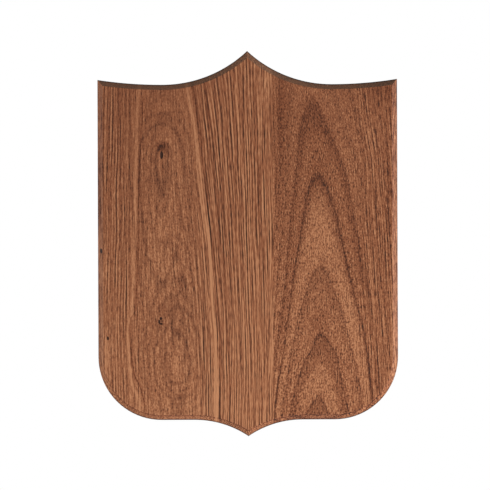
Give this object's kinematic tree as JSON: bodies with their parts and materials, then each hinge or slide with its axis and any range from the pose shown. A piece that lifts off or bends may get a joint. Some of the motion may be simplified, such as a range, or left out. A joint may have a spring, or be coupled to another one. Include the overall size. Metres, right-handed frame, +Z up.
{
  "type": "shield plaque",
  "caption": "Blank walnut shield plaque for a wall, glued up from boards, with a chamfered front edge and a steel keyhole hanger let into the back.",
  "frame": {"origin": "middle of the back face, on the centre line at half the height, where the plaque lies on the wall", "axes": "+Y out of the back into the wall, so the front faces -Y; +Z up, from the tip to the apex; +X to the right as seen from the front"},
  "size_m": [0.1778, 0.019, 0.2286],
  "materials": {
    "walnut_left": "satin clear lacquer",
    "walnut_right": "satin clear lacquer",
    "beech": "bare, pressed",
    "hanger": "bright zinc plate",
    "screw": "zinc plate"
  },
  "bodies": {
    "root": {"left_board": "walnut_left", "right_board": "walnut_right", "lower_biscuit": "beech", "middle_biscuit": "beech", "upper_biscuit": "beech", "keyhole_plate": "hanger", "upper_screw": "screw", "lower_screw": "screw"}
  },
  "joints": []
}
